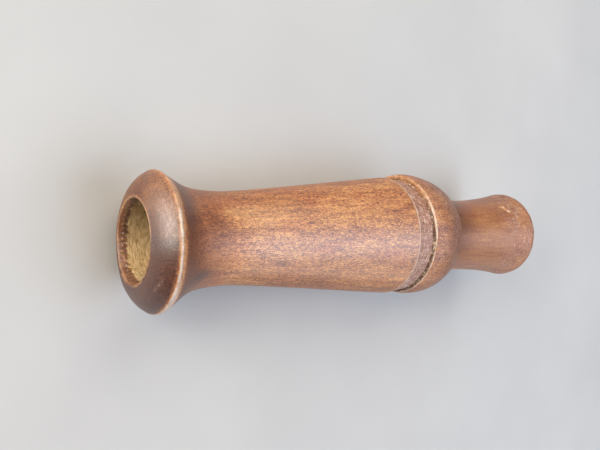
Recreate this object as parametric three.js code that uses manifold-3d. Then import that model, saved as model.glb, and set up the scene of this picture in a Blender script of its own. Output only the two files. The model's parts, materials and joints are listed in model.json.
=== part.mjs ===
// A turned wooden mouth-blown game call, lying on its side.
// Pieces: barrel, insert with its toneboard, reed, and the cork wedge that clamps the reed.
// Millimetres, +Z up. The turning axis runs from the mouth end (-X) to the exhaust end (+X).
// "along" is the distance from the mouth rim, measured along the turning axis.
import * as THREE from 'three';
import { mergeVertices } from 'three/addons/utils/BufferGeometryUtils.js';
import Module from 'manifold-3d';

const wasm = await Module();
wasm.setup();

// ---- driving dimensions ----
const TURNED_SIDES = 48;
const BORE_SIDES = 32;
const CLEARANCE = 0.3;

// barrel, outside
const BARREL_LENGTH = 94;
const RIM_R = 9.8;
const RIM_ROUND = 0.4;
const LIP_R = 16;
const LIP_AT = 4.5;
const LIP_ROUND = 0.6;
const LIP_CROWN_R = 7.4;
const NECK_R = 11.22;
const NECK_AT = 21.3;
const BODY_END_R = 16.35;
const SHOULDER_R = 17.07;
const SHOULDER_AT = 82.9;
const SHOULDER_ARC_R = 15;

// lanyard groove
const GROOVE_AT = 72.9;
const GROOVE_END = 78.7;
const GROOVE_EDGE = 0.2;
const GROOVE_R = 15.9;

// barrel, inside
const BORE_R = 9;
const RIM_BEVEL = 1.3;
const SOCKET_DEPTH = 24;
const SOCKET_R = 9.9;

// insert, the part that shows
const INSERT_END = 129.5;
const STEM_R = 11.1;
const WAIST_R = 10.72;
const WAIST_AT = 102.9;
const FLARE_R = 13.17;
const FLARE_AT = 125.9;
const EXHAUST_EDGE_R = 9.2;
const EXHAUST_R = 6.2;
const EXHAUST_THROAT_R = 4.2;
const EXHAUST_THROAT_AT = 81;

// insert, the part inside the barrel
const TONEBOARD_TIP = 30;
const TONEBOARD_R = 8.6;
const TONEBOARD_Z = 0.6;
const TONEBOARD_DROP = 1.3;
const TIP_CHAMFER = 0.6;
const CHANNEL_R = 3;
const CHANNEL_Z = -0.8;
const CHANNEL_TIP = 34;
const CHANNEL_RAMP = 6;
const NOTCH_DEPTH = 9;
const NOTCH_HEIGHT = 4;

// reed and wedge
const REED_WIDTH = 14;
const REED_THICKNESS = 0.35;
const REED_TIP = 31;
const REED_CORNER = 3;
const WEDGE_WIDTH = 11;
const WEDGE_NOSE = 0.7;

// ---- derived ----
const TENON_TIP = BARREL_LENGTH - SOCKET_DEPTH;
const TENON_END = BARREL_LENGTH + CLEARANCE;
const NOTCH_END = TENON_TIP + NOTCH_DEPTH;
const NOTCH_TOP = TONEBOARD_Z + NOTCH_HEIGHT;
const REED_END = NOTCH_END - CLEARANCE;
const REED_BOTTOM = TONEBOARD_Z + CLEARANCE;
const REED_TOP = REED_BOTTOM + REED_THICKNESS;
const WEDGE_BOTTOM = REED_TOP + CLEARANCE;
const WEDGE_TOP = NOTCH_TOP - CLEARANCE;

// The call rests on its lip and on its shoulder, so its axis climbs a little towards the insert.
// Both are rounded, so the tilt is that of the straight line that touches the two circles.
const lipRound = { at: LIP_AT, r: LIP_R - LIP_ROUND, round: LIP_ROUND };
const shoulderRound = { at: SHOULDER_AT, r: SHOULDER_R - SHOULDER_ARC_R, round: SHOULDER_ARC_R };
const spanAlong = shoulderRound.at - lipRound.at;
const spanOut = lipRound.r - shoulderRound.r;
const roundGrowth = shoulderRound.round - lipRound.round;
const REST_TILT = Math.asin(roundGrowth / Math.hypot(spanAlong, spanOut)) - Math.atan2(spanOut, spanAlong);
const AXIS_HEIGHT = lipRound.r * Math.cos(REST_TILT) - lipRound.at * Math.sin(REST_TILT) + lipRound.round;

// ---- outline helpers: points are Vector2(along, radius) ----
const point = (along, radius) => new THREE.Vector2(along, radius);

function bezier(a, b, c, d, steps) {
  return new THREE.CubicBezierCurve(a, b, c, d).getPoints(steps);
}

// an arc of a circle, between two angles in radians
function arc(along, radius, round, from, to, steps) {
  return new THREE.EllipseCurve(along, radius, round, round, from, to, to < from).getPoints(steps);
}

// the crowned face between two points, bulging outwards by a circle of the given radius
function crown(a, b, round, steps) {
  const middle = a.clone().add(b).multiplyScalar(0.5);
  const half = b.clone().sub(a).multiplyScalar(0.5);
  const reach = Math.sqrt(round * round - half.lengthSq()) / half.length();
  const centre = middle.add(point(half.y, -half.x).multiplyScalar(reach));
  const angle = (p) => Math.atan2(p.y - centre.y, p.x - centre.x);
  return arc(centre.x, centre.y, round, angle(a), angle(b), steps);
}

// ---- solid helpers ----
// a lathe turns about +Y, so the outline's "along" is laid on Y and then turned on to +X
function turned(outline, sides) {
  const profile = outline.map((p) => point(p.y, p.x));
  return new THREE.LatheGeometry(profile, sides).rotateZ(-Math.PI / 2);
}

// a side view (along, height), given thickness across the call
function slab(shape, width) {
  const geometry = new THREE.ExtrudeGeometry(shape, { depth: width, bevelEnabled: false });
  return geometry.rotateX(Math.PI / 2).translate(0, width / 2, 0);
}

function solid(geometry) {
  const bare = geometry.clone();
  bare.deleteAttribute('normal');
  bare.deleteAttribute('uv');
  const merged = mergeVertices(bare, 1e-4);
  const mesh = new wasm.Mesh({
    numProp: 3,
    vertProperties: new Float32Array(merged.attributes.position.array),
    triVerts: new Uint32Array(merged.index.array),
  });
  return new wasm.Manifold(mesh);
}

function geometryOf(manifold) {
  const mesh = manifold.getMesh();
  const geometry = new THREE.BufferGeometry();
  geometry.setAttribute('position', new THREE.BufferAttribute(mesh.vertProperties, 3));
  geometry.setIndex(new THREE.BufferAttribute(mesh.triVerts, 1));
  geometry.computeVertexNormals();
  return geometry;
}

function piece(name, geometry, color, roughness) {
  const material = new THREE.MeshStandardMaterial({ color, roughness, metalness: 0 });
  const mesh = new THREE.Mesh(geometry, material);
  mesh.name = name;
  return mesh;
}

// ---- barrel: flared lip, waisted neck, swelling body, lanyard groove and round shoulder ----
function barrelGeometry() {
  const rimTop = point(RIM_ROUND * 0.4, RIM_R + RIM_ROUND);
  const lipFront = point(LIP_AT - LIP_ROUND * 0.85, LIP_R - LIP_ROUND * 0.4);
  const lipBack = point(LIP_AT + LIP_ROUND * 0.7, LIP_R - LIP_ROUND * 0.4);
  const neck = point(NECK_AT, NECK_R);
  const bodyEnd = point(GROOVE_AT, BODY_END_R);
  const shoulderFrom = Math.acos((GROOVE_END - SHOULDER_AT) / SHOULDER_ARC_R);
  const shoulderTo = Math.acos((BARREL_LENGTH - SHOULDER_AT) / SHOULDER_ARC_R);
  const outside = [
    ...crown(rimTop, lipFront, LIP_CROWN_R, 6),
    point(LIP_AT, LIP_R),
    ...bezier(lipBack, point(9.9, 12.95), point(11.2, 11.35), neck, 9),
    ...bezier(neck, point(27.7, NECK_R), point(64.5, 15.55), bodyEnd, 9).slice(1),
    point(GROOVE_AT + GROOVE_EDGE, GROOVE_R),
    point(GROOVE_END, GROOVE_R),
    ...arc(SHOULDER_AT, shoulderRound.r, SHOULDER_ARC_R, shoulderFrom, shoulderTo, 9),
  ];
  const inside = [
    point(BARREL_LENGTH, SOCKET_R),
    point(TENON_TIP, BORE_R),
    point(RIM_BEVEL, BORE_R),
    point(RIM_ROUND * 0.4, RIM_R - RIM_ROUND),
    point(0, RIM_R),
  ];
  const ring = [...outside, ...inside];
  return turned([...ring, ring[0]], TURNED_SIDES);
}

// ---- insert: flared exhaust end, tapered tenon, half-round toneboard with its tone channel ----
function insertBlank() {
  const slope = (SOCKET_R - BORE_R) / SOCKET_DEPTH;
  const tenonTipR = BORE_R - CLEARANCE;
  const tenonEndR = tenonTipR + slope * (TENON_END - TENON_TIP);
  const stem = point(TENON_END, STEM_R);
  const waist = point(WAIST_AT, WAIST_R);
  const flare = point(FLARE_AT, FLARE_R);
  const endEdge = point(INSERT_END, EXHAUST_EDGE_R);
  return turned([
    point(TONEBOARD_TIP, 0),
    point(TONEBOARD_TIP, TONEBOARD_R - TIP_CHAMFER),
    point(TONEBOARD_TIP + TIP_CHAMFER, TONEBOARD_R),
    point(TENON_TIP, TONEBOARD_R),
    point(TENON_TIP + TIP_CHAMFER, tenonTipR),
    point(TENON_END, tenonEndR),
    ...bezier(stem, point(97, 10.8), point(99.5, WAIST_R), waist, 4),
    ...bezier(waist, point(111, WAIST_R), point(121.5, FLARE_R - 1.1), flare, 8).slice(1),
    ...bezier(flare, point(128.4, FLARE_R + 0.2), point(INSERT_END, 11.4), endEdge, 5).slice(1),
    point(INSERT_END, 0),
  ], TURNED_SIDES);
}

function exhaustBore() {
  const past = INSERT_END + 1;
  const taper = (EXHAUST_R - EXHAUST_THROAT_R) / (INSERT_END - EXHAUST_THROAT_AT);
  return turned([
    point(EXHAUST_THROAT_AT, 0),
    point(EXHAUST_THROAT_AT, EXHAUST_THROAT_R),
    point(past, EXHAUST_R + taper),
    point(past, 0),
  ], BORE_SIDES);
}

function toneChannel() {
  const nose = new THREE.EllipseCurve(
    CHANNEL_TIP + CHANNEL_RAMP, 0, CHANNEL_RAMP, CHANNEL_R, Math.PI, Math.PI / 2, true,
  ).getPoints(6);
  const end = EXHAUST_THROAT_AT + 2;
  return turned([...nose, point(end, CHANNEL_R), point(end, 0)], BORE_SIDES).translate(0, 0, CHANNEL_Z);
}

// everything above the toneboard's face, which falls away towards the tip in a gentle curve
function toneboardCut() {
  const over = TONEBOARD_R + 2;
  const steps = 8;
  const shape = new THREE.Shape();
  shape.moveTo(TONEBOARD_TIP - 1, over);
  shape.lineTo(TENON_TIP, over);
  const reach = TENON_TIP - TONEBOARD_TIP;
  for (let i = 0; i <= steps; i += 1) {
    const away = ((reach + 1) * i) / steps;
    shape.lineTo(TENON_TIP - away, TONEBOARD_Z - TONEBOARD_DROP * (away / reach) ** 2);
  }
  shape.closePath();
  return slab(shape, 2 * over);
}

// the slot across the tenon's face that takes the reed's tail and the wedge
function wedgeNotch() {
  const shape = new THREE.Shape();
  shape.moveTo(TENON_TIP - 1, TONEBOARD_Z);
  shape.lineTo(NOTCH_END, TONEBOARD_Z);
  shape.lineTo(NOTCH_END, NOTCH_TOP);
  shape.lineTo(TENON_TIP - 1, NOTCH_TOP);
  shape.closePath();
  return slab(shape, 2 * SOCKET_R + 2);
}

function insertGeometry() {
  const cutters = [exhaustBore(), toneChannel(), toneboardCut(), wedgeNotch()];
  const carved = cutters.reduce((body, cutter) => body.subtract(solid(cutter)), solid(insertBlank()));
  return geometryOf(carved);
}

// ---- reed: a thin flat strip with round tip corners ----
function reedGeometry() {
  const half = REED_WIDTH / 2;
  const shape = new THREE.Shape();
  shape.moveTo(REED_END, -half);
  shape.lineTo(REED_END, half);
  shape.lineTo(REED_TIP + REED_CORNER, half);
  shape.absarc(REED_TIP + REED_CORNER, half - REED_CORNER, REED_CORNER, Math.PI / 2, Math.PI, false);
  shape.absarc(REED_TIP + REED_CORNER, REED_CORNER - half, REED_CORNER, Math.PI, 1.5 * Math.PI, false);
  shape.closePath();
  const options = { depth: REED_THICKNESS, bevelEnabled: false, curveSegments: 5 };
  return new THREE.ExtrudeGeometry(shape, options).translate(0, 0, REED_BOTTOM);
}

// ---- wedge: a small cork block whose nose is a little lower than its tail ----
function wedgeGeometry() {
  const tail = TENON_TIP + CLEARANCE;
  const shape = new THREE.Shape();
  shape.moveTo(tail, WEDGE_BOTTOM);
  shape.lineTo(REED_END, WEDGE_BOTTOM);
  shape.lineTo(REED_END, WEDGE_TOP - WEDGE_NOSE);
  shape.lineTo(tail, WEDGE_TOP);
  shape.closePath();
  return slab(shape, WEDGE_WIDTH);
}

// ---- the call, tilted on to its lip and shoulder, then centred over the origin ----
const turning = new THREE.Group();
turning.add(piece('barrel', barrelGeometry(), 0x8a4a26, 0.45));
turning.add(piece('insert', insertGeometry(), 0x96502a, 0.38));
turning.add(piece('reed', reedGeometry(), 0xe6ddc4, 0.4));
turning.add(piece('wedge', wedgeGeometry(), 0xb98a58, 0.9));
turning.rotation.y = -REST_TILT;
turning.position.z = AXIS_HEIGHT;

const call = new THREE.Group();
call.add(turning);
call.updateMatrixWorld(true);
turning.position.x = -new THREE.Box3().setFromObject(call, true).getCenter(new THREE.Vector3()).x;

export default call;
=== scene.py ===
"""The looks of a turned wooden game call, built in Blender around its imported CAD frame.

Everything is in the frame's own metres, except that outlines and detail are worked out in
millimetres along and around the call's turning axis.
"""
import json
import math

import bmesh
import bpy
import numpy as np
from mathutils import Matrix, Vector


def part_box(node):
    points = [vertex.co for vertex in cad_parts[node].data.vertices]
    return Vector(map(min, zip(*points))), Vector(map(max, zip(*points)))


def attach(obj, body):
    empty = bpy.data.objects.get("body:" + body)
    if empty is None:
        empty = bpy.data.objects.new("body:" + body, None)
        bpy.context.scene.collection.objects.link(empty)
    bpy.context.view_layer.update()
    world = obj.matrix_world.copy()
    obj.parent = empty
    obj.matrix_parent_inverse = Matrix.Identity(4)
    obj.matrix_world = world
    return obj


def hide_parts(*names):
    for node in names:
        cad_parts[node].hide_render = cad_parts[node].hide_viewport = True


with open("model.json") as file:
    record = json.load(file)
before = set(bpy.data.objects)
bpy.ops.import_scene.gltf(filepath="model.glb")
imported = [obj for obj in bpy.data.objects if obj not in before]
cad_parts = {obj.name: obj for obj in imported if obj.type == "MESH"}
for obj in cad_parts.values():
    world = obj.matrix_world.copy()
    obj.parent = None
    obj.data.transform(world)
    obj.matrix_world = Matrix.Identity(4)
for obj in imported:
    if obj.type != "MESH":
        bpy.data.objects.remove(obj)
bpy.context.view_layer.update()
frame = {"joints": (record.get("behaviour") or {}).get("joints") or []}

MM = 0.001
FULL_TURN = 2 * math.pi

# ---- the call's dimensions, in millimetres, as the CAD model has them ----
BARREL_LENGTH = 94
RIM_R = 9.8
RIM_ROUND = 0.4
LIP_R = 16
LIP_AT = 4.5
LIP_ROUND = 0.6
LIP_CROWN_R = 7.4
NECK_R = 11.22
NECK_AT = 21.3
BODY_END_R = 16.35
SHOULDER_R = 17.07
SHOULDER_AT = 82.9
SHOULDER_ARC_R = 15
GROOVE_AT = 72.9
GROOVE_END = 78.7
GROOVE_R = 15.9
BORE_R = 9
RIM_BEVEL = 1.3
SOCKET_DEPTH = 24
SOCKET_R = 9.9
CLEARANCE = 0.3
INSERT_END = 129.5
STEM_R = 11.1
WAIST_R = 10.72
WAIST_AT = 102.9
FLARE_R = 13.17
FLARE_AT = 125.9
EXHAUST_EDGE_R = 9.2
EXHAUST_R = 6.2
EXHAUST_THROAT_R = 4.2
EXHAUST_THROAT_AT = 81
TONEBOARD_TIP = 30
TONEBOARD_R = 8.6
TONEBOARD_Z = 0.6
TONEBOARD_DROP = 1.3
CHANNEL_R = 3
CHANNEL_Z = -0.8
CHANNEL_TIP = 34
CHANNEL_RAMP = 6
NOTCH_DEPTH = 9
NOTCH_HEIGHT = 4
TENON_TIP = BARREL_LENGTH - SOCKET_DEPTH
TENON_END = BARREL_LENGTH + CLEARANCE
NOTCH_END = TENON_TIP + NOTCH_DEPTH
REED_WIDTH = 14
REED_TIP = 31
REED_CORNER = 3
REED_END = NOTCH_END - CLEARANCE
REED_BOTTOM = TONEBOARD_Z + CLEARANCE
REED_TOP = REED_BOTTOM + 0.35
WEDGE_WIDTH = 11
WEDGE_NOSE = 0.7
WEDGE_TAIL = TENON_TIP + CLEARANCE
WEDGE_BOTTOM = REED_TOP + CLEARANCE
WEDGE_TOP = TONEBOARD_Z + NOTCH_HEIGHT - CLEARANCE

# ---- the room round it, in metres ----
ROOM_R = 3.0
GLOW_FROM = 0.25
GLOW_TO = 0.70
BACKDROP_GLOW = 0.52
BACKDROP_COLOUR = (0.96, 0.98, 1.0, 1)
FLOOR_SIDES = 96

# ---- how fine the turned bodies are ----
BARREL_SIDES = 256
INSERT_SIDES = 192

# ---- wood colours, each with its place on a ramp ----
CALM_STAIN = [(0.1, (0.15, 0.038, 0.012)), (0.9, (0.38, 0.125, 0.040))]
# the deep stain colour also paints shade
DEEP_STAIN_AND_SHADE = [(0.1, (0.024, 0.007, 0.005)), (0.9, (0.120, 0.038, 0.020))]
# the dirt colour also paints the shade at the foot of the groove's wall
DIRT_AND_SHADE = [(0.3, (0.035, 0.016, 0.010)), (0.7, (0.15, 0.07, 0.035))]
# the scuffed colour also paints part of the lip's highlight
SCUFFED_AND_HIGHLIGHT = [(0.40, (0.14, 0.055, 0.04)), (0.50, (0.31, 0.16, 0.125)), (0.60, (0.70, 0.54, 0.46))]
# the thin-finish colour also paints the lit golden band along the body
THIN_FINISH_AND_LIT_BAND = [(0.36, (0.20, 0.062, 0.019)), (0.66, (0.78, 0.40, 0.15))]
# the bare-wood colour also paints pale highlights: the barrel's end edge and a speck on the insert
BARE_WOOD_AND_HIGHLIGHT = [(0.3, (0.42, 0.31, 0.24)), (0.7, (0.72, 0.61, 0.52))]
RAW_BORE = [(0.34, (0.28, 0.175, 0.075)), (0.5, (0.66, 0.47, 0.235)), (0.68, (0.92, 0.74, 0.45))]
# painted shade for the raw bore
RAW_BORE_SHADE = (0.13, 0.085, 0.04, 1)
SPLINTER = (0.72, 0.55, 0.36, 1)
REDDENING = (0.85, 0.45, 0.42, 1)

# ---- the two woods, from the darkest fibre to the lightest ----
BARREL_TONES = [(0.09, 0.022, 0.009), (0.235, 0.064, 0.021), (0.37, 0.127, 0.036),
                (0.50, 0.210, 0.058), (0.70, 0.36, 0.12)]
INSERT_TONES = [(0.15, 0.042, 0.016), (0.25, 0.078, 0.027), (0.33, 0.128, 0.042),
                (0.41, 0.176, 0.058), (0.51, 0.26, 0.095)]


# ---- the turning axis in the row frame ----
def turning_axis():
    """The direction of the turning axis and the point on it at the mouth rim, in metres."""
    slide = next(j for j in frame["joints"] if j["name"] == "insert_slide")
    direction = np.array(slide["axis"], float)
    direction /= np.linalg.norm(direction)
    tilt = math.asin(direction[2])
    lip_height = (LIP_R - LIP_ROUND) * math.cos(tilt) - LIP_AT * math.sin(tilt) + LIP_ROUND
    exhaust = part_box("insert")[1].x / MM
    start_x = exhaust - INSERT_END * math.cos(tilt) - EXHAUST_EDGE_R * math.sin(tilt)
    return direction, np.array([start_x, 0, lip_height]) * MM


AXIS, AXIS_START = turning_axis()
SIDE = np.array([0.0, 1.0, 0.0])
OVER = np.cross(AXIS, SIDE)


def placed(along, side, over):
    """Row-frame points, in metres, from millimetres along, beside and above the turning axis."""
    along, side, over = np.broadcast_arrays(along, side, over)
    spread = along[..., None] * AXIS + side[..., None] * SIDE + over[..., None] * OVER
    return AXIS_START + spread * MM


# ---- outlines: arrays of (along, radius) ----
def line(a, b, steps):
    return np.linspace(a, b, steps + 1)


def bezier(a, b, c, d, steps):
    t = np.linspace(0, 1, steps + 1)[:, None]
    a, b, c, d = (np.array(p, float) for p in (a, b, c, d))
    return (1 - t) ** 3 * a + 3 * (1 - t) ** 2 * t * b + 3 * (1 - t) * t * t * c + t**3 * d


def arc(centre, radius, start, end, steps):
    angle = np.linspace(start, end, steps + 1)
    return np.stack([centre[0] + radius * np.cos(angle), centre[1] + radius * np.sin(angle)], 1)


def crown(a, b, radius, steps):
    """The arc from a to b that bulges outwards."""
    a, b = np.array(a, float), np.array(b, float)
    half = (b - a) / 2
    reach = math.sqrt(radius**2 - half @ half) / math.sqrt(half @ half)
    centre = (a + b) / 2 + np.array([half[1], -half[0]]) * reach
    turn = [math.atan2(*(p - centre)[::-1]) for p in (a, b)]
    return arc(centre, radius, turn[0], turn[1], steps)


def joined(*stretches):
    """One outline from several stretches, without repeated points."""
    points = np.concatenate(stretches)
    keep = np.ones(len(points), bool)
    keep[1:] = np.linalg.norm(np.diff(points, axis=0), axis=1) > 1e-4
    return points[keep]


# ---- smooth random fields, the same on every run ----
def lattice(cell, seed):
    """A pseudo-random number from 0 to 1 for each whole-number cell."""
    mixed = cell[..., 0] * 374761393 + cell[..., 1] * 668265263
    mixed = mixed + cell[..., 2] * 2147483647 + seed * 144665
    mixed = (mixed ^ (mixed >> 13)) * 1274126177
    return ((mixed ^ (mixed >> 16)) & 0xFFFFFF) / 0xFFFFFF


def field(points, seed):
    """Smooth noise from 0 to 1 with features one unit across."""
    low = np.floor(points).astype(np.int64)
    share = points - low
    share = share * share * (3 - 2 * share)
    total = 0
    for corner in np.ndindex(2, 2, 2):
        weight = np.prod(np.where(corner, share, 1 - share), axis=-1)
        total = total + weight * lattice(low + np.array(corner), seed)
    return total


def fractal(points, seed, octaves=3):
    total, size, norm = 0, 1.0, 0
    for octave in range(octaves):
        total = total + size * field(points * 2.0**octave, seed + octave)
        norm += size
        size *= 0.5
    return total / norm


def smoothstep(low, high, value):
    t = np.clip((value - low) / (high - low), 0, 1)
    return t * t * (3 - 2 * t)


def bump_at(centre, width, value):
    """1 at the centre, falling smoothly to 0 at width away."""
    return 1 - smoothstep(0, width, np.abs(value - centre))


# ---- meshes ----
def new_object(name, vertices, faces):
    mesh = bpy.data.meshes.new(name)
    mesh.from_pydata(vertices.tolist(), [], faces)
    mesh.shade_smooth()
    mesh.update()
    thing = bpy.data.objects.new(name, mesh)
    bpy.context.scene.collection.objects.link(thing)
    return thing


def paint(thing, masks):
    """Stores each mask, one number per vertex, for the materials to read."""
    for mask, values in masks.items():
        attribute = thing.data.attributes.new(mask, "FLOAT", "POINT")
        attribute.data.foreach_set("value", np.asarray(values, np.float32).ravel())


def spot_of(thing):
    """Where a mesh's vertices lie along, out from and around the turning axis, in millimetres."""
    points = np.empty(3 * len(thing.data.vertices))
    thing.data.vertices.foreach_get("co", points)
    away = (points.reshape(-1, 3) - AXIS_START) / MM
    side, over = away @ SIDE, away @ OVER
    return {"along": away @ AXIS, "radius": np.hypot(side, over), "turn": np.arctan2(over, side)}


def outline_normals(outline, closed):
    if closed:
        tangent = np.roll(outline, -1, 0) - np.roll(outline, 1, 0)
    else:
        tangent = np.gradient(outline, axis=0)
    tangent /= np.linalg.norm(tangent, axis=1)[:, None] + 1e-12
    return np.stack([-tangent[:, 1], tangent[:, 0]], 1)


def turned(name, outline, sides, closed, relief=None, masks=None, lean=None):
    """A lathe-turned body. relief gives how far each point stands proud, in millimetres, and
    lean how far the ring at each point along the axis sits out of true, towards +Y. Both, and
    the masks, are worked out from where a point lies on the plain outline."""
    turn = np.arange(sides) * FULL_TURN / sides
    along = np.repeat(outline[:, :1], sides, 1)
    radius = np.repeat(outline[:, 1:], sides, 1)
    spot = {"along": along, "radius": radius, "turn": turn[None, :] + 0 * along}
    if relief:
        proud = relief(spot)
        normals = outline_normals(outline, closed)
        along = along + normals[:, :1] * proud
        radius = radius + normals[:, 1:] * proud
    aside = lean(spot["along"]) if lean else 0
    points = placed(along, radius * np.cos(turn) + aside, radius * np.sin(turn)).reshape(-1, 3)
    rows = len(outline)
    faces = []
    for i in range(rows if closed else rows - 1):
        here, there = i * sides, (i + 1) % rows * sides
        faces += [(here + j, here + (j + 1) % sides, there + (j + 1) % sides, there + j)
                  for j in range(sides)]
    if not closed:
        faces.append(tuple(range(sides))[::-1])
        faces.append(tuple((rows - 1) * sides + j for j in range(sides)))
    thing = new_object(name, points, faces)
    if masks:
        paint(thing, masks(spot))
    return thing


def spread_points(spot):
    """Millimetre positions of a turned body's points, for the random fields."""
    return np.stack([spot["along"], spot["radius"] * np.cos(spot["turn"]),
                     spot["radius"] * np.sin(spot["turn"])], -1)


# ---- materials ----
class Graph:
    """A material's nodes, made by short calls that hand back output sockets."""

    def __init__(self, name):
        self.material = bpy.data.materials.new(name)
        self.material.use_nodes = True
        self.tree = self.material.node_tree
        self.tree.nodes.clear()

    def node(self, kind, inputs=None, out=0, **settings):
        made = self.tree.nodes.new("ShaderNode" + kind)
        for key, value in settings.items():
            setattr(made, key, value)
        for key, value in (inputs or {}).items():
            if isinstance(value, bpy.types.NodeSocket):
                self.tree.links.new(value, made.inputs[key])
            else:
                made.inputs[key].default_value = value
        return made.outputs[out]

    def mask(self, name):
        return self.node("Attribute", out="Fac", attribute_name=name, attribute_type="GEOMETRY")

    def position(self, scale):
        """Where a point lies in the piece, in millimetres times scale."""
        spot = self.node("TexCoord", out="Object")
        stretch = tuple(s / MM for s in scale)
        return self.node("VectorMath", {0: spot, 1: stretch}, operation="MULTIPLY")

    def noise(self, vector, scale=1.0, detail=2.0, roughness=0.5, distortion=0.0):
        return self.node("TexNoise", {"Vector": vector, "Scale": scale, "Detail": detail,
                                      "Roughness": roughness, "Distortion": distortion})

    def math(self, operation, a, b=0.0, clamp=False):
        return self.node("Math", {0: a, 1: b}, operation=operation, use_clamp=clamp)

    def remap(self, value, low, high, to_low=0.0, to_high=1.0):
        return self.node("MapRange", {"Value": value, "From Min": low, "From Max": high,
                                      "To Min": to_low, "To Max": to_high}, clamp=True)

    def mix(self, factor, a, b, blend="MIX"):
        return self.node("Mix", {0: factor, 6: a, 7: b}, out=2, data_type="RGBA", blend_type=blend)

    def ramp(self, factor, stops):
        made = self.tree.nodes.new("ShaderNodeValToRGB")
        self.tree.links.new(factor, made.inputs[0])
        elements = made.color_ramp.elements
        while len(elements) < len(stops):
            elements.new(0.5)
        for element, (place, colour) in zip(elements, stops):
            element.position = place
            element.color = (*colour, 1)
        return made.outputs[0]

    def bump(self, height, strength, distance, under=None):
        inputs = {"Height": height, "Strength": strength, "Distance": distance * MM}
        if under is not None:
            inputs["Normal"] = under
        return self.node("Bump", inputs)

    def finish(self, **sockets):
        shader = self.node("BsdfPrincipled", {k.replace("_", " "): v for k, v in sockets.items()})
        end = self.tree.nodes.new("ShaderNodeOutputMaterial")
        self.tree.links.new(shader, end.inputs["Surface"])
        return self.material


def rgb(red, green, blue):
    return (red, green, blue, 1)


def wood_grain(g, grain):
    """The wood's tone, about 0 to 1, with the streaks and flecks that it is partly made of.

    grain holds how strongly the broad figure, the streaks and the short flecks show."""
    broad = g.noise(g.position((0.03, 0.12, 0.12)), detail=3, roughness=0.55)
    streak = g.noise(g.position((0.09, 0.9, 0.9)), detail=3, roughness=0.6, distortion=0.25)
    fleck = g.noise(g.position((1.0, 3.8, 3.8)), detail=3, roughness=0.72, distortion=0.6)
    speck = g.noise(g.position((2.5, 3.6, 3.6)), scale=1.37, detail=2, roughness=0.6)
    tone = 0.5
    for layer, weight in ((broad, grain["broad"]), (streak, grain["streak"]),
                          (fleck, grain["fleck"]), (speck, grain["fleck"] * 0.6)):
        tone = g.math("ADD", tone, g.math("MULTIPLY", g.math("SUBTRACT", layer, 0.5), weight))
    return tone, streak, fleck


def stained_and_shaded_colour(g, tones, tone, streak, fleck):
    """The stained wood before any wear: redder in patches, darker where stain or dirt gathered and where
    shade is painted in.
    """
    colour = g.ramp(tone, [(i / (len(tones) - 1), shade) for i, shade in enumerate(tones)])
    blotch = g.remap(g.noise(g.position((0.06, 0.1, 0.1)), scale=1.6, detail=3), 0.5, 0.7)
    colour = g.mix(g.math("MULTIPLY", blotch, 0.4), colour, REDDENING, "MULTIPLY")
    colour = g.mix(g.mask("flush"), colour, g.ramp(tone, CALM_STAIN))
    uneven = g.remap(streak, 0.3, 0.7, 0.8, 1.1)
    stain_and_shade = g.math("MULTIPLY", g.mask("stain_and_shade"), uneven, clamp=True)
    colour = g.mix(stain_and_shade, colour, g.ramp(tone, DEEP_STAIN_AND_SHADE))
    grime_and_shade = g.math("MULTIPLY", g.mask("grime_and_shade"), uneven, clamp=True)
    return g.mix(grime_and_shade, colour, g.ramp(fleck, DIRT_AND_SHADE))


def bore_colour(g, fuzz):
    """Raw wood with torn fibres, darkened where the stain mask paints shade on the bore's +Y wall."""
    colour = g.ramp(fuzz, RAW_BORE)
    return g.mix(g.math("MULTIPLY", g.mask("stain_and_shade"), 0.6), colour, RAW_BORE_SHADE)


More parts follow.
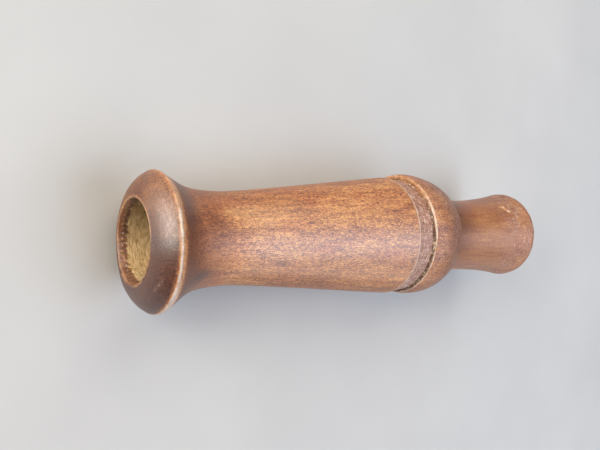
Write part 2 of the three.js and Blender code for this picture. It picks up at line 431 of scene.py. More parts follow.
def wood_material(name, tones, grain, gloss):
    """Stained, close-pored hardwood with its fibres along the turning axis."""
    g = Graph(name)
    tone, streak, fleck = wood_grain(g, grain)
    colour = stained_and_shaded_colour(g, tones, tone, streak, fleck)
    # scuffed finish, dull and greyish pink; on the lip's face it also paints part of the highlight
    lengthways = g.noise(g.position((0.5, 2.2, 2.2)), detail=5, roughness=0.78)
    across = g.noise(g.position((2.2, 0.55, 0.55)), detail=4, roughness=0.7)
    rub = g.math("ADD", g.math("MULTIPLY", lengthways, 0.5), g.math("MULTIPLY", across, 0.5))
    scuff_and_highlight = g.math("MULTIPLY", g.mask("scuff_and_highlight"), g.remap(rub, 0.36, 0.56, 0.6, 1.0))
    colour = g.mix(scuff_and_highlight, colour, g.ramp(rub, SCUFFED_AND_HIGHLIGHT))
    # where it has been rubbed, thin finish and then bare wood; the same mask also paints a lit golden band
    # along the body and pale highlights on the barrel's end edge and the insert
    worn_and_lit = g.math("ADD", g.mask("wear_and_painted_light"), g.math("MULTIPLY", g.math("SUBTRACT", rub, 0.5), 1.1))
    fibre = g.math("ADD", g.math("MULTIPLY", fleck, 0.7), g.math("MULTIPLY", streak, 0.3))
    colour = g.mix(g.remap(worn_and_lit, 0.22, 0.42), colour, g.ramp(fibre, THIN_FINISH_AND_LIT_BAND))
    rubbed_through_and_highlit = g.remap(worn_and_lit, 0.6, 0.78)
    colour = g.mix(rubbed_through_and_highlit, colour, g.ramp(across, BARE_WOOD_AND_HIGHLIGHT))
    # cream splinters in a broken edge
    chip = g.noise(g.position((1.4, 1.4, 1.4)), detail=4, roughness=0.75)
    colour = g.mix(g.math("MULTIPLY", g.mask("chips"), g.remap(chip, 0.52, 0.58)), colour, SPLINTER)
    # the raw bore
    raw = g.mask("raw")
    fuzz = g.noise(g.position((2.4, 0.6, 0.6)), detail=6, roughness=0.75)
    colour = g.mix(raw, colour, bore_colour(g, fuzz))
    # dull where scuffed, raw or matt, and a little glossier where stained
    dull = g.math("ADD", g.math("MULTIPLY", scuff_and_highlight, 0.2), g.math("MULTIPLY", raw, 0.5), clamp=True)
    rough = g.math("ADD", g.remap(fleck, 0.35, 0.7, gloss, gloss + 0.14), dull, clamp=True)
    rough = g.math("SUBTRACT", rough, g.math("MULTIPLY", g.mask("stain_and_shade"), 0.12), clamp=True)
    rough = g.math("ADD", rough, g.math("MULTIPLY", g.mask("matt"), 0.08), clamp=True)
    # a coat of varnish, gone where the wood is raw, scuffed, matt or rubbed through
    bare = g.math("ADD", g.math("ADD", raw, scuff_and_highlight), g.mask("matt"))
    bare = g.math("ADD", bare, rubbed_through_and_highlit, clamp=True)
    varnish = g.math("SUBTRACT", 1.0, bare)
    pores = g.bump(fleck, 0.8, 0.08)
    ripple = g.bump(rub, 0.4, 0.08, under=pores)
    torn = g.bump(g.math("MULTIPLY", fuzz, raw), 0.8, 0.3, under=ripple)
    return g.finish(Base_Color=colour, Roughness=rough, Normal=torn, Specular_IOR_Level=0.8,
                    Coat_Weight=varnish, Coat_Roughness=gloss + 0.03, Coat_Normal=torn,
                    Coat_IOR=1.75)


def floor_material():
    """Pale and matt. Far from the lights it glows a little, so that it doesn't fall into the dark."""
    g = Graph("pale_floor")
    mottle = g.noise(g.position((0.02, 0.02, 0.02)), detail=3)
    colour = g.ramp(mottle, [(0.3, (0.50, 0.50, 0.50)), (0.7, (0.54, 0.54, 0.535))])
    away = g.node("VectorMath", {0: g.node("TexCoord", out="Object")}, out="Value", operation="LENGTH")
    far = g.remap(away, GLOW_FROM, GLOW_TO)
    colour = g.mix(far, colour, rgb(0.10, 0.10, 0.10))
    glow = g.math("MULTIPLY", far, BACKDROP_GLOW)
    return g.finish(Base_Color=colour, Roughness=0.9, Specular_IOR_Level=0.15,
                    Emission_Color=BACKDROP_COLOUR, Emission_Strength=glow)


def backdrop_material():
    g = Graph("pale_backdrop")
    height = g.node("SeparateXYZ", {0: g.node("TexCoord", out="Object")}, out="Z")
    glow = g.remap(height, 0.0, ROOM_R, BACKDROP_GLOW, BACKDROP_GLOW * 1.25)
    return g.finish(Base_Color=rgb(0, 0, 0), Roughness=1.0, Specular_IOR_Level=0.0,
                    Emission_Color=BACKDROP_COLOUR, Emission_Strength=glow)


# ---- barrel ----
def barrel_outline():
    """Closed ring: outside from the rim to the end face, then back along the bore."""
    rim_front = (RIM_ROUND * 0.4, RIM_R + RIM_ROUND)
    lip_front = (LIP_AT - 0.5, LIP_R - 0.28)
    lip_back = (LIP_AT + 0.4, LIP_R - 0.2)
    neck = (NECK_AT, NECK_R)
    body_end = (GROOVE_AT, BODY_END_R)
    groove_edge = (GROOVE_AT - 0.7, BODY_END_R - 0.066)
    arc_centre = (SHOULDER_AT, SHOULDER_R - SHOULDER_ARC_R)
    shoulder_from = math.acos((GROOVE_END + 0.25 - SHOULDER_AT) / SHOULDER_ARC_R)
    shoulder_to = math.acos((BARREL_LENGTH - 0.25 - SHOULDER_AT) / SHOULDER_ARC_R)
    ridge_r = arc_centre[1] + SHOULDER_ARC_R * math.sin(shoulder_from)
    end_r = arc_centre[1] + SHOULDER_ARC_R * math.sin(shoulder_to)
    return joined(
        crown(rim_front, lip_front, LIP_CROWN_R, 34),
        bezier(lip_front, (LIP_AT - 0.15, LIP_R + 0.05), (LIP_AT + 0.15, LIP_R + 0.02), lip_back, 8),
        bezier(lip_back, (9.9, 12.95), (11.2, 11.35), neck, 46),
        bezier(neck, (27.7, NECK_R), (64.0, 15.5), groove_edge, 84),
        line(groove_edge, body_end, 5),
        bezier(body_end, (GROOVE_AT + 0.15, BODY_END_R), (GROOVE_AT + 0.12, GROOVE_R + 0.3),
               (GROOVE_AT + 0.3, GROOVE_R + 0.2), 6),
        line((GROOVE_AT + 0.3, GROOVE_R + 0.2), (GROOVE_END - 0.7, GROOVE_R - 0.1), 20),
        bezier((GROOVE_END - 0.7, GROOVE_R - 0.1), (GROOVE_END - 0.4, GROOVE_R - 0.2),
               (GROOVE_END - 0.3, GROOVE_R - 0.5), (GROOVE_END - 0.12, GROOVE_R - 0.45), 6),
        line((GROOVE_END - 0.12, GROOVE_R - 0.45), (GROOVE_END, ridge_r - 0.25), 5),
        bezier((GROOVE_END, ridge_r - 0.25), (GROOVE_END + 0.02, ridge_r - 0.05),
               (GROOVE_END + 0.1, ridge_r - 0.01), (GROOVE_END + 0.25, ridge_r), 5),
        arc(arc_centre, SHOULDER_ARC_R, shoulder_from, shoulder_to, 52),
        bezier((BARREL_LENGTH - 0.25, end_r), (BARREL_LENGTH - 0.05, end_r - 0.2),
               (BARREL_LENGTH, end_r - 0.3), (BARREL_LENGTH, end_r - 0.5), 5),
        line((BARREL_LENGTH, end_r - 0.5), (BARREL_LENGTH, SOCKET_R + 0.3), 5),
        line((BARREL_LENGTH - 0.3, SOCKET_R), (TENON_TIP, BORE_R), 16),
        line((TENON_TIP, BORE_R), (14, BORE_R), 18),
        line((14, BORE_R), (RIM_BEVEL + 0.3, BORE_R), 44),
        bezier((RIM_BEVEL + 0.3, BORE_R), (RIM_BEVEL, BORE_R), (RIM_BEVEL, BORE_R + 0.02),
               (RIM_BEVEL - 0.2, BORE_R + 0.12), 4),
        line((RIM_BEVEL - 0.2, BORE_R + 0.12), (0.2, RIM_R - 0.3), 6),
        bezier((0.2, RIM_R - 0.3), (-0.02, RIM_R - 0.12), (-0.06, RIM_R + 0.2), rim_front, 6)[:-1],
    )


def barrel_parts(spot):
    """Where each point lies: 1 on a part of the barrel's surface, 0 elsewhere."""
    along, radius = spot["along"], spot["radius"]
    inside = (radius < RIM_R - 0.25) & (along < BARREL_LENGTH - 0.1)
    inside |= (radius < SOCKET_R + 0.28) & (along > TENON_TIP)
    bore = inside & (along > RIM_BEVEL - 0.1)
    return {"inside": inside, "bore": bore, "bevel": (~bore) & (radius < RIM_R - 0.05) & (along < 2)}


def ridge_lift(spot):
    """The shoulder's front edge stands higher on its +Y side, where it was turned off centre."""
    side = np.cos(spot["turn"])
    along = spot["along"]
    fade = 1 - smoothstep(GROOVE_END + 0.5, GROOVE_END + 7, along)
    on_shoulder = (along > GROOVE_END - 0.02) & (spot["radius"] > GROOVE_R + 0.2)
    return 0.75 * on_shoulder * fade * smoothstep(-0.3, 1.0, side)


def knock(spot, along, degrees, length, width):
    """1 at a place on the surface, falling off over a length and a width in millimetres."""
    away = (spot["along"] - along) / length
    round_by = np.angle(np.exp(1j * (spot["turn"] - math.radians(degrees)))) * spot["radius"] / width
    return np.exp(-(away**2) - round_by**2)


def barrel_lean(along):
    return -0.25 * (1 - smoothstep(5, 26, along))


def chatter(spot):
    """Ripples round the bevel, left by a chattering tool and uneven round the rim."""
    uneven = fractal(np.stack([spot["turn"] * 4, 0 * spot["turn"], 0 * spot["turn"]], -1), 51)
    return (0.5 + 0.5 * np.sin(spot["turn"] * 46 + 9 * uneven)) * smoothstep(0.15, 0.45, uneven)


def barrel_relief(spot):
    points = spread_points(spot)
    parts = barrel_parts(spot)
    outside = ~(parts["inside"] | parts["bevel"])
    along = spot["along"]
    proud = 0.05 * (fractal(points * [0.05, 0.12, 0.12], 3) - 0.5) * outside
    # the lip's edge is knocked and rubbed
    edge = bump_at(LIP_AT, 0.9, along) * outside
    proud -= edge * 0.22 * smoothstep(0.52, 0.75, fractal(points * [0.3, 0.35, 0.35], 11))
    face = (along < LIP_AT - 0.5) * outside
    proud += face * 0.07 * (fractal(points * [0.8, 0.8, 0.8], 13) - 0.5)
    # the flare is a little fuller towards -Y
    flare = bump_at(LIP_AT, 9, along) * smoothstep(0.1, 1.0, -np.cos(spot["turn"]))
    proud += 0.6 * flare * outside
    # chips along the shoulder's front edge
    ridge = bump_at(GROOVE_END + 0.1, 0.8, along) * outside
    proud -= ridge * 0.3 * smoothstep(0.5, 0.7, fractal(points * [0.9, 0.8, 0.8], 21))
    proud += ridge_lift(spot) * outside
    # the groove's floor and left edge are scraped
    floor = (along > GROOVE_AT) & (along < GROOVE_END - 0.3) & outside
    proud += floor * 0.08 * (fractal(points * [0.8, 1.6, 1.6], 31) - 0.5)
    # torn fibres in the bore
    fuzz = fractal(points * [1.6, 0.6, 0.6], 41, 4) - 0.5
    proud += parts["bore"] * 0.22 * fuzz * (along < 30)
    proud -= bump_at(RIM_BEVEL, 1.1, along) * (parts["inside"] | parts["bevel"]) * 0.2 * chatter(spot)
    return proud


class BarrelFinish:
    """The barrel's masks, and the places on its surface that more than one of them uses."""

    def __init__(self, spot):
        self.spot = spot
        self.along, self.radius = spot["along"], spot["radius"]
        self.side = np.cos(spot["turn"])
        self.degrees = np.degrees(spot["turn"])
        parts = barrel_parts(spot)
        self.inside, self.bore = parts["inside"], parts["bore"]
        self.outside = ~(parts["inside"] | parts["bevel"])
        self.inner_rim = ~self.outside & (self.along < RIM_BEVEL + 2)
        self.high_side = smoothstep(0.3, 0.8, self.side)
        self.shoulder = smoothstep(GROOVE_END, GROOVE_END + 1.2, self.along)
        self.dull_tail = smoothstep(SHOULDER_AT - 0.5, SHOULDER_AT + 4.5, self.along)
        # the foot of the groove's wall, wider towards -Y
        foot = GROOVE_END - 0.2 - 0.45 * smoothstep(0.4, -0.9, self.side)
        self.wall = (self.along > foot) & (self.along < GROOVE_END + 0.05)
        self.wall &= (self.radius < GROOVE_R + 0.4) & self.outside

    def between(self, start, full, fade, end):
        """1 between full and fade along the axis, falling smoothly to 0 at start and end."""
        return smoothstep(start, full, self.along) * (1 - smoothstep(fade, end, self.along))

    def wear_and_painted_light(self):
        """Rubbed edges, the end edge partly a painted highlight, and painted light: the groove wall paler
        on its lit +Y side and a golden band along the body's +Y side.
        """
        along, radius, side = self.along, self.radius, self.side
        patchy = fractal(spread_points(self.spot) * [0.25, 0.3, 0.3], 61)
        lip = self.between(LIP_AT - 0.5, LIP_AT - 0.2, LIP_AT + 0.2, LIP_AT + 0.8)
        lip = lip * (0.55 + 0.5 * patchy) * (1 - 0.35 * self.high_side)
        behind_lip = bump_at(LIP_AT + 0.8, 0.9, along) * 0.42
        rim = bump_at(0.0, 0.35, along) * (radius > RIM_R - 0.3) * (radius < RIM_R + 0.6)
        rim = rim * (0.2 + 0.25 * patchy)
        crest = bump_at(GROOVE_END + 0.15, 0.3 + 0.15 * smoothstep(0.3, -0.5, side), along)
        crest = crest * (radius > GROOVE_R + 0.55) * (0.8 + 0.45 * patchy)
        crest = crest * (1 - 0.38 * self.high_side)
        left = bump_at(GROOVE_AT, 0.42, along) * (radius > GROOVE_R + 0.15)
        left = left * (0.85 + 0.4 * patchy)
        # the end edge is partly worn and partly a painted highlight, a pale line where the edge catches
        # the light
        end = bump_at(BARREL_LENGTH - 0.2, 0.5, along) * (radius > SOCKET_R + 1.8)
        end = end * (0.8 + 0.5 * patchy)
        edges = (np.maximum(lip, behind_lip) + crest + left + end) * self.outside + rim
        # painted light: a golden band along the body's +Y side, where the light falls brightest
        painted_lit_band = self.between(12, 20, GROOVE_AT - 3, GROOVE_AT) * bump_at(0.60, 0.26, side)
        painted_lit_band = painted_lit_band * (0.24 + 0.24 * bump_at(21, 9, along)) * self.outside
        # the groove's wall is painted paler on its lit +Y side
        return edges + 0.35 * self.wall * self.high_side + painted_lit_band

    def scuff_and_highlight(self):
        """The scraped groove floor, the dulled shoulder, and marks on the lip's face, one of them partly a
        painted highlight.
        """
        along, degrees = self.along, self.degrees
        floor = smoothstep(GROOVE_AT + 0.12, GROOVE_AT + 0.4, along) * (along < GROOVE_END - 0.2)
        floor = floor * (0.8 + 0.2 * smoothstep(-0.1, -0.7, self.side))
        shoulder = (0.18 + 0.12 * self.high_side) * self.shoulder + 0.15 * self.dull_tail
        # a bloomed patch with a sharp lower end, partly real bloom and partly a painted highlight, and a
        # scratch slanting down from it
        bloom_and_highlight = smoothstep(38, 56, degrees) * (1 - smoothstep(81, 85, degrees))
        bloom_and_highlight = bloom_and_highlight * bump_at(2.3, 2.3, along)
        share = (degrees - 112) / 34
        scratch = bump_at(2.3 - 1.3 * share, 0.35, along) * bump_at(0.5, 0.55, share)
        return (floor + shoulder + 0.40 * bloom_and_highlight + 0.35 * scratch) * self.outside

    def stain_and_shade(self, raw):
        """Deepest on the lip's face and in the hollow behind it, and dark at the inner rim; painted shade
        darkens the lip face's -Y half and the bore's +Y wall.
        """
        along, side = self.along, self.side
        face = 1 - smoothstep(LIP_AT - 1.1, LIP_AT - 0.1, along)
        # painted shade: the lip's face darker towards -Y, on its lower half
        face = face * (0.6 + 0.45 * smoothstep(0.7, -0.1, side))
        hollow_end = LIP_AT + 9 + 5 * smoothstep(0.1, -0.6, side)
        hollow = self.between(LIP_AT + 0.9, LIP_AT + 2.2, LIP_AT + 3, hollow_end)
        neck = 0.22 * self.between(LIP_AT + 1, LIP_AT + 3, 14, 21)
        bruises = knock(self.spot, 32.6, 117, 1.6, 1.0) + knock(self.spot, 12.5, 126, 2.5, 2.0)
        bruises = bruises + knock(self.spot, 67, 128, 1.0, 0.8)
        shown = np.maximum(face, 0.8 * np.maximum(hollow, neck))
        shown = shown + 0.45 * self.dull_tail + 0.6 * bruises + 0.18 * self.shoulder
        # painted shade on the bore's +Y wall, where less light reaches
        bore = 0.6 * self.bore * smoothstep(-0.6, 0.7, side)
        return shown * self.outside + 0.5 * self.inner_rim * (1 - raw) + bore

    def grime_and_shade(self):
        """Painted shade and dirt at the foot of the groove's wall, heavier towards -Y and lighter on the
        lit +Y side, and dirt in the chattered marks on the bevel.
        """
        ticks = smoothstep(0.45, 0.85, chatter(self.spot)) * bump_at(RIM_BEVEL, 1.5, self.along)
        return self.wall * 0.95 * (1 - 0.75 * self.high_side) + self.inner_rim * 0.95 * ticks

    def raw(self):
        """The raw bore, which starts at a ragged line."""
        round_rim = np.stack([self.spot["turn"] * 13, self.along * 0, self.along * 0], -1)
        ragged = 1.9 * fractal(round_rim, 71) - 0.85
        return smoothstep(RIM_BEVEL + 0.5, RIM_BEVEL + 0.9, self.along + ragged) * self.inside

    def matt(self):
        """Duller finish past the groove, in the neck, on the flanks and on the lip's two sides."""
        along, side, degrees = self.along, self.side, self.degrees
        glossy = smoothstep(15, 55, degrees) * (1 - smoothstep(84, 108, degrees))
        lip_sides = (1 - smoothstep(LIP_AT - 0.6, LIP_AT, along)) * (1 - glossy)
        neck = self.between(LIP_AT + 0.4, LIP_AT + 1.5, 14, 30)
        tail = 0.75 * smoothstep(GROOVE_END - 0.3, GROOVE_END + 0.3, along)
        flanks = smoothstep(0.55, 0.8, -side) + smoothstep(0.62, 0.85, side)
        flanks = 0.85 * flanks * smoothstep(LIP_AT, LIP_AT + 5, along)
        shown = np.maximum(np.maximum(tail, flanks), 0.85 * (neck + lip_sides))
        return shown * self.outside + 0.5 * self.inner_rim

    def flush(self):
        """The neck, where the stain is redder and calmer."""
        return 0.7 * self.between(LIP_AT + 0.5, LIP_AT + 2, 14, 22) * self.outside


def barrel_masks(spot):
    finish = BarrelFinish(spot)
    raw = finish.raw()
    return {"wear_and_painted_light": finish.wear_and_painted_light(), "scuff_and_highlight": finish.scuff_and_highlight(), "chips": finish.wall * 1.0, "raw": raw,
            "grime_and_shade": np.clip(finish.grime_and_shade(), 0, 1), "stain_and_shade": np.clip(finish.stain_and_shade(raw), 0, 1),
            "matt": np.clip(finish.matt(), 0, 1), "flush": finish.flush()}


def make_barrel():
    barrel = turned("barrel_turned", barrel_outline(), BARREL_SIDES, True,
                    barrel_relief, barrel_masks, barrel_lean)
    grain = {"broad": 0.95, "streak": 1.1, "fleck": 3.1}
    barrel.data.materials.append(wood_material("barrel_stained_wood", BARREL_TONES, grain, 0.37))
    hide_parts("barrel")
    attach(barrel, "barrel")


# ---- insert ----
def insert_outline():
    tip_r = BORE_R - CLEARANCE
    slope = (SOCKET_R - BORE_R) / SOCKET_DEPTH
    end_r = tip_r + slope * (TENON_END - TENON_TIP)
    stem = (TENON_END, STEM_R)
    waist = (WAIST_AT, WAIST_R)
    flare = (FLARE_AT, FLARE_R)
    edge = (INSERT_END, EXHAUST_EDGE_R)
    return joined(
        bezier((TONEBOARD_TIP, TONEBOARD_R - 0.7), (TONEBOARD_TIP, TONEBOARD_R - 0.2),
               (TONEBOARD_TIP + 0.2, TONEBOARD_R), (TONEBOARD_TIP + 0.7, TONEBOARD_R), 4),
        line((TONEBOARD_TIP + 0.7, TONEBOARD_R), (TENON_TIP, TONEBOARD_R), 20),
        line((TENON_TIP, TONEBOARD_R), (TENON_TIP + 0.6, tip_r), 1),
        line((TENON_TIP + 0.6, tip_r), (TENON_END, end_r), 14),
        line((TENON_END, end_r), (TENON_END, STEM_R - 0.2), 2),
        bezier((TENON_END, STEM_R - 0.2), (TENON_END, STEM_R), stem, (TENON_END + 0.25, STEM_R - 0.01), 3),
        bezier((TENON_END + 0.25, STEM_R - 0.01), (97, 10.8), (99.5, WAIST_R), waist, 22),
        bezier(waist, (111, WAIST_R), (121.5, FLARE_R - 1.1), flare, 60),
        bezier(flare, (128.4, FLARE_R + 0.2), (INSERT_END, 11.4), edge, 24),
        line(edge, (INSERT_END, EXHAUST_R - 0.4), 30),
        line((INSERT_END, EXHAUST_R - 0.4), (INSERT_END, 3.0), 1),
    )


def prism(name, outline, width):
    """A side view of (along, over) points, given width across the call."""
    outline = np.array(outline, float)
    count = len(outline)
    near = placed(outline[:, 0], -width / 2, outline[:, 1])
    far = placed(outline[:, 0], width / 2, outline[:, 1])
    faces = [tuple(range(count)), tuple(range(2 * count - 1, count - 1, -1))]
    faces += [(i, i + count, (i + 1) % count + count, (i + 1) % count) for i in range(count)]
    made = new_object(name, np.concatenate([near, far]), faces)
    fix = bmesh.new()
    fix.from_mesh(made.data)
    bmesh.ops.recalc_face_normals(fix, faces=fix.faces)
    fix.to_mesh(made.data)
    fix.free()
    return made


def insert_cutters():
    past = INSERT_END + 1
    taper = (EXHAUST_R - EXHAUST_THROAT_R) / (INSERT_END - EXHAUST_THROAT_AT)
    mouth = joined(
        line((EXHAUST_THROAT_AT, EXHAUST_THROAT_R), (INSERT_END - 0.8, EXHAUST_R - taper * 0.8), 12),
        bezier((INSERT_END - 0.8, EXHAUST_R - taper * 0.8), (INSERT_END - 0.3, EXHAUST_R),
               (INSERT_END, EXHAUST_R + 0.3), (INSERT_END + 0.02, EXHAUST_R + 0.7), 5),
        line((INSERT_END + 0.02, EXHAUST_R + 0.7), (past, EXHAUST_R + 1), 1),
    )
    yield turned("cut_exhaust", mouth, 96, False)
    full_at = CHANNEL_TIP + CHANNEL_RAMP
    nose = arc((0, 0), 1, math.pi, math.pi / 2, 10) * [CHANNEL_RAMP, CHANNEL_R] + [full_at, 0]
    channel = joined(nose[1:], line((full_at, CHANNEL_R), (EXHAUST_THROAT_AT + 2, CHANNEL_R), 8))
    lowered = turned("cut_channel", channel, 64, False)
    lowered.data.transform(Matrix.Translation(Vector(OVER * CHANNEL_Z * MM)))
    yield lowered
    over = TONEBOARD_R + 2
    reach = TENON_TIP - TONEBOARD_TIP
    away = np.linspace(0, reach + 1, 25)
    face = np.stack([TENON_TIP - away, TONEBOARD_Z - TONEBOARD_DROP * (away / reach) ** 2], 1)
    yield prism("cut_toneboard", [(TONEBOARD_TIP - 1, over), (TENON_TIP, over), *face], 2 * over)
    top = TONEBOARD_Z + NOTCH_HEIGHT
    yield prism("cut_notch", [(TENON_TIP - 1, TONEBOARD_Z), (NOTCH_END, TONEBOARD_Z), (NOTCH_END, top),
                              (TENON_TIP - 1, top)], 2 * SOCKET_R + 2)


def apply_modifiers(thing):
    bpy.context.view_layer.objects.active = thing
    for modifier in list(thing.modifiers):
        bpy.ops.object.modifier_apply(modifier=modifier.name)


def carve(thing, cutters):
    for tool in cutters:
        cut = thing.modifiers.new("carve", "BOOLEAN")
        cut.object = tool
        cut.operation = "DIFFERENCE"
        cut.solver = "EXACT"
        apply_modifiers(thing)
        bpy.data.objects.remove(tool)


def insert_lean(along):
    return -0.45 * smoothstep(TENON_END, 106, along)


def insert_relief(spot):
    points = spread_points(spot)
    shown = spot["along"] > TENON_END
    proud = 0.04 * (fractal(points * [0.06, 0.12, 0.12], 5) - 0.5) * shown
    edge = bump_at(FLARE_AT + 1.2, 2.2, spot["along"])
    proud -= edge * 0.12 * smoothstep(0.55, 0.72, fractal(points * [0.5, 0.5, 0.5], 15)) * shown
    # rings left by the turning tool on the end face
    end_face = smoothstep(INSERT_END - 0.05, INSERT_END, spot["along"])
    return proud - 0.05 * end_face * (0.5 + 0.5 * np.sin(spot["radius"] * FULL_TURN / 0.9))


def insert_masks(spot):
    points = spread_points(spot)
    along = spot["along"]
    side = np.cos(spot["turn"])
    patchy = fractal(points * [0.5, 0.6, 0.6], 65)
    inner = 1 - smoothstep(TENON_END - 0.3, TENON_END, along)
    edge = bump_at(FLARE_AT - 3, 11, along)
    knocks = knock(spot, 117.6, 40, 1.2, 0.5) + knock(spot, 118.4, 44, 0.5, 1.0)
    # a white speck on the insert, a painted glint of light
    speck = knock(spot, 119.4, 50, 0.45, 0.45)
    # painted shadow of the barrel's shoulder on the insert, heaviest on its +Y side; the stain mask
    # carries it
    hollow = bump_at(TENON_END, 13, along) * (0.55 + 0.45 * side)
    # bare wood on the tenon, the toneboard and the inside of the exhaust
    hole = 1 - smoothstep(EXHAUST_R + 0.1, EXHAUST_R + 0.6, spot["radius"])
    bare = np.maximum(inner, hole)
    handled_and_glint = 0.55 * knocks + 1.5 * speck + 0.22 * edge
    soot = 0.35 * bump_at(EXHAUST_R + 0.9, 0.9, spot["radius"]) * (along > INSERT_END - 1)
    return {"wear_and_painted_light": np.maximum(handled_and_glint, 0.46 * bare),
            "scuff_and_highlight": edge * smoothstep(0.15, 0.80, patchy) * 0.8 * (1 - bare),
            "grime_and_shade": bump_at(TENON_END, 1.2, along) * 0.6 + soot, "stain_and_shade": 0.85 * hollow * (1 - bare),
            "chips": 0 * along, "raw": 0.35 * bare, "matt": np.maximum(0.6, bare),
            "flush": 0.6 * bump_at(TENON_END, 13, along) * (1 - bare)}


def make_insert():
    insert = turned("insert_turned", insert_outline(), INSERT_SIDES, False,
                    insert_relief, None, insert_lean)
    carve(insert, insert_cutters())
    paint(insert, insert_masks(spot_of(insert)))
    insert.data.shade_smooth()
    insert.data.set_sharp_from_angle(angle=math.radians(35))
    insert.data.materials.clear()
    grain = {"broad": 1.0, "streak": 1.0, "fleck": 1.7}
    insert.data.materials.append(wood_material("insert_stained_wood", INSERT_TONES, grain, 0.40))
    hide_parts("insert")
    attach(insert, "insert")


# ---- reed and wedge ----
def reed_material():
    """Milky plastic sheet, a little yellowed and finely scratched along its length."""
    g = Graph("reed_sheet")
    haze = g.noise(g.position((0.12, 0.3, 0.3)), detail=3)
    hairline = g.noise(g.position((0.25, 7.0, 7.0)), detail=2)
    colour = g.ramp(haze, [(0.3, (0.60, 0.53, 0.38)), (0.7, (0.76, 0.71, 0.58))])
    colour = g.mix(g.remap(hairline, 0.6, 0.72, 0.0, 0.35), colour, rgb(0.88, 0.86, 0.80))
    rough = g.remap(hairline, 0.35, 0.7, 0.22, 0.45)
    return g.finish(Base_Color=colour, Roughness=rough, Normal=g.bump(hairline, 0.3, 0.02),
                    Subsurface_Weight=0.25, Subsurface_Scale=0.001)


def make_reed():
    half = REED_WIDTH / 2
    tip_at = REED_TIP + REED_CORNER
    near = arc((tip_at, half - REED_CORNER), REED_CORNER, math.pi / 2, math.pi, 16)
    far = arc((tip_at, REED_CORNER - half), REED_CORNER, math.pi, 1.5 * math.pi, 16)
    tail = [(REED_END, -half), (REED_END, half)]
    sheet = np.concatenate([tail, near, far])
    count = len(sheet)
    under = placed(sheet[:, 0], sheet[:, 1], REED_BOTTOM)
    over = placed(sheet[:, 0], sheet[:, 1], REED_TOP)
    faces = [tuple(range(count)), tuple(range(2 * count - 1, count - 1, -1))]
    faces += [(i + count, (i + 1) % count + count, (i + 1) % count, i) for i in range(count)]
    reed = new_object("reed_strip", np.concatenate([under, over]), faces)
    soften = reed.modifiers.new("soften", "BEVEL")
    soften.width = 0.08 * MM
    soften.segments = 2
    soften.limit_method = "ANGLE"
    reed.data.materials.append(reed_material())
    apply_modifiers(reed)
    reed.data.set_sharp_from_angle(angle=math.radians(35))
    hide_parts("reed")
    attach(reed, "reed")


def cork_material():
    g = Graph("cork")
    cells = g.noise(g.position((1.1, 1.1, 1.1)), detail=5, roughness=0.7)
    lenticel = g.remap(g.noise(g.position((0.9, 0.35, 0.9)), detail=2), 0.60, 0.68)
    colour = g.ramp(cells, [(0.3, (0.27, 0.14, 0.06)), (0.5, (0.48, 0.30, 0.15)),
                            (0.7, (0.64, 0.45, 0.26))])
    colour = g.mix(lenticel, colour, rgb(0.10, 0.045, 0.02))
    return g.finish(Base_Color=colour, Roughness=0.88, Normal=g.bump(cells, 0.7, 0.2))


def make_wedge():
    """A small cork block, its nose lower than its tail, with rounded and pitted faces."""
    block = bmesh.new()
    bmesh.ops.create_cube(block, size=2)
    bmesh.ops.subdivide_edges(block, edges=block.edges[:], cuts=23, use_grid_fill=True)
    bmesh.ops.recalc_face_normals(block, faces=block.faces)
    unit = np.array([v.co for v in block.verts])
    faces = [tuple(v.index for v in face.verts) for face in block.faces]
    block.free()
    share = (1 - unit[:, 0]) / 2
    top = WEDGE_TOP - WEDGE_NOSE * (1 - share)
    every = np.ones(len(unit))
    centre = np.stack([every * (WEDGE_TAIL + REED_END) / 2, 0 * every, (top + WEDGE_BOTTOM) / 2], 1)
    half = np.stack([every * (REED_END - WEDGE_TAIL) / 2, every * WEDGE_WIDTH / 2,
                     (top - WEDGE_BOTTOM) / 2], 1)
    reach = unit * half
    # edges rounded off by pulling in what lies near two or more faces at once
    near = np.sort(smoothstep(-0.45, 0, np.abs(reach) - half), axis=1)
    reach = reach * (1 - 0.10 * near[:, 1:2] * near[:, 2:3] ** 2)
    spot = centre + reach
    pits = smoothstep(0.56, 0.70, fractal(spot * 0.9, 81)) + 0.4 * fractal(spot * 2.5, 91)
    inward = -unit / np.linalg.norm(unit, axis=1)[:, None]
    spot = spot + inward * (0.16 * pits)[:, None]
    wedge = new_object("wedge_cork_block", placed(spot[:, 0], spot[:, 1], spot[:, 2]), faces)
    wedge.data.materials.append(cork_material())
    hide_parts("wedge")
    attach(wedge, "wedge")


# ---- stage ----
def make_floor():
    """A round floor inside a pale dome. Only the camera sees the dome: it lights nothing."""
    turn = np.arange(FLOOR_SIDES) * FULL_TURN / FLOOR_SIDES
    rim = np.stack([ROOM_R * np.cos(turn), ROOM_R * np.sin(turn), 0 * turn], 1)
    floor = new_object("floor", rim, [tuple(range(FLOOR_SIDES))])
    floor.data.materials.append(floor_material())
    shell = bmesh.new()
    bmesh.ops.create_uvsphere(shell, u_segments=FLOOR_SIDES, v_segments=FLOOR_SIDES // 2,
                              radius=ROOM_R)
    below = [v for v in shell.verts if v.co.z < -0.1 * ROOM_R]
    bmesh.ops.delete(shell, geom=below, context="VERTS")
    points = np.array([v.co for v in shell.verts])
    shell.verts.index_update()
    dome = new_object("backdrop", points, [tuple(v.index for v in f.verts) for f in shell.faces])
    shell.free()
    dome.data.materials.append(backdrop_material())
    dome.visible_diffuse = False
    dome.visible_glossy = False
    dome.visible_transmission = False
    dome.visible_shadow = False


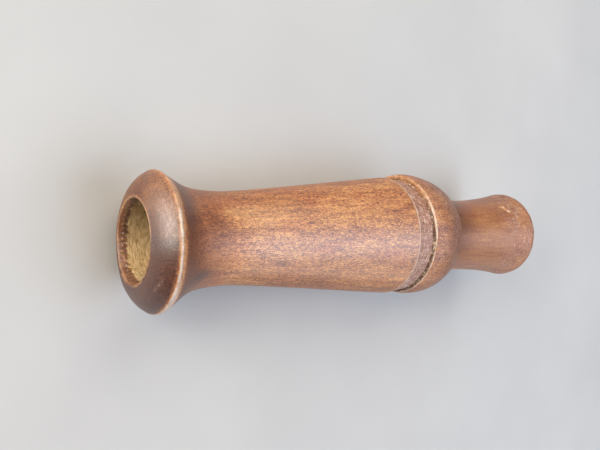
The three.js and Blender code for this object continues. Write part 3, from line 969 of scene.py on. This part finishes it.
def area_light(name, spot, aim, size, power, colour):
    data = bpy.data.lights.new(name, "AREA")
    data.shape = "RECTANGLE"
    data.size, data.size_y = size
    data.energy = power
    data.color = colour
    lamp = bpy.data.objects.new(name, data)
    lamp.location = spot
    lamp.rotation_euler = (Vector(aim) - Vector(spot)).to_track_quat("-Z", "Y").to_euler()
    bpy.context.scene.collection.objects.link(lamp)


def make_lights():
    centre = (0, 0, 0.016)
    area_light("sky_panel", (0.24, -0.16, 0.60), centre, (0.70, 0.46), 3.8, (0.74, 0.84, 1.0))
    area_light("side_panel", (0.0, 0.50, 0.48), centre, (0.45, 0.45), 2.2, (1.0, 0.97, 0.90))
    area_light("warm_panel", (-0.35, 0.25, 0.55), centre, (0.35, 0.35), 1.0, (1.0, 0.72, 0.45))
    area_light("low_panel", (0.35, -0.60, 0.16), centre, (0.35, 0.30), 0.85, (1.0, 0.74, 0.62))
    area_light("near_panel", (0.0, -0.60, 0.30), centre, (0.35, 0.35), 0.85, (0.95, 0.88, 0.88))
    area_light("mouth_side_panel", (-0.50, 0.40, 0.14), centre, (0.35, 0.26), 0.8, (1.0, 0.72, 0.55))
    area_light("mouth_panel", (-0.58, 0.18, 0.26), centre, (0.36, 0.52), 3.4, (0.99, 1.0, 0.93))
    world = bpy.data.worlds.new("soft_room")
    world.use_nodes = True
    back = world.node_tree.nodes["Background"]
    back.inputs["Color"].default_value = rgb(0.82, 0.87, 0.95)
    back.inputs["Strength"].default_value = 0.03
    bpy.context.scene.world = world
    bpy.context.scene.view_settings.view_transform = "Standard"


def make_camera():
    spot = Vector((-0.1200, 0.0121, 0.1520))
    aim = Vector((-0.0192, 0.0030, 0.0160))
    roll = math.radians(95.97)
    data = bpy.data.cameras.new("camera")
    data.sensor_width = 36
    data.lens = 39.0
    data.clip_start = 0.005
    camera = bpy.data.objects.new("camera", data)
    look = (aim - spot).normalized()
    level = look.cross(Vector((0, 0, 1))).normalized()
    upright = level.cross(look)
    right = level * math.cos(roll) + upright * math.sin(roll)
    up = upright * math.cos(roll) - level * math.sin(roll)
    turn = Matrix((right, up, -look)).transposed().to_4x4()
    camera.matrix_world = Matrix.Translation(spot) @ turn
    bpy.context.scene.collection.objects.link(camera)
    bpy.context.scene.camera = camera


make_camera()
make_floor()
make_lights()
make_barrel()
make_insert()
make_reed()
make_wedge()
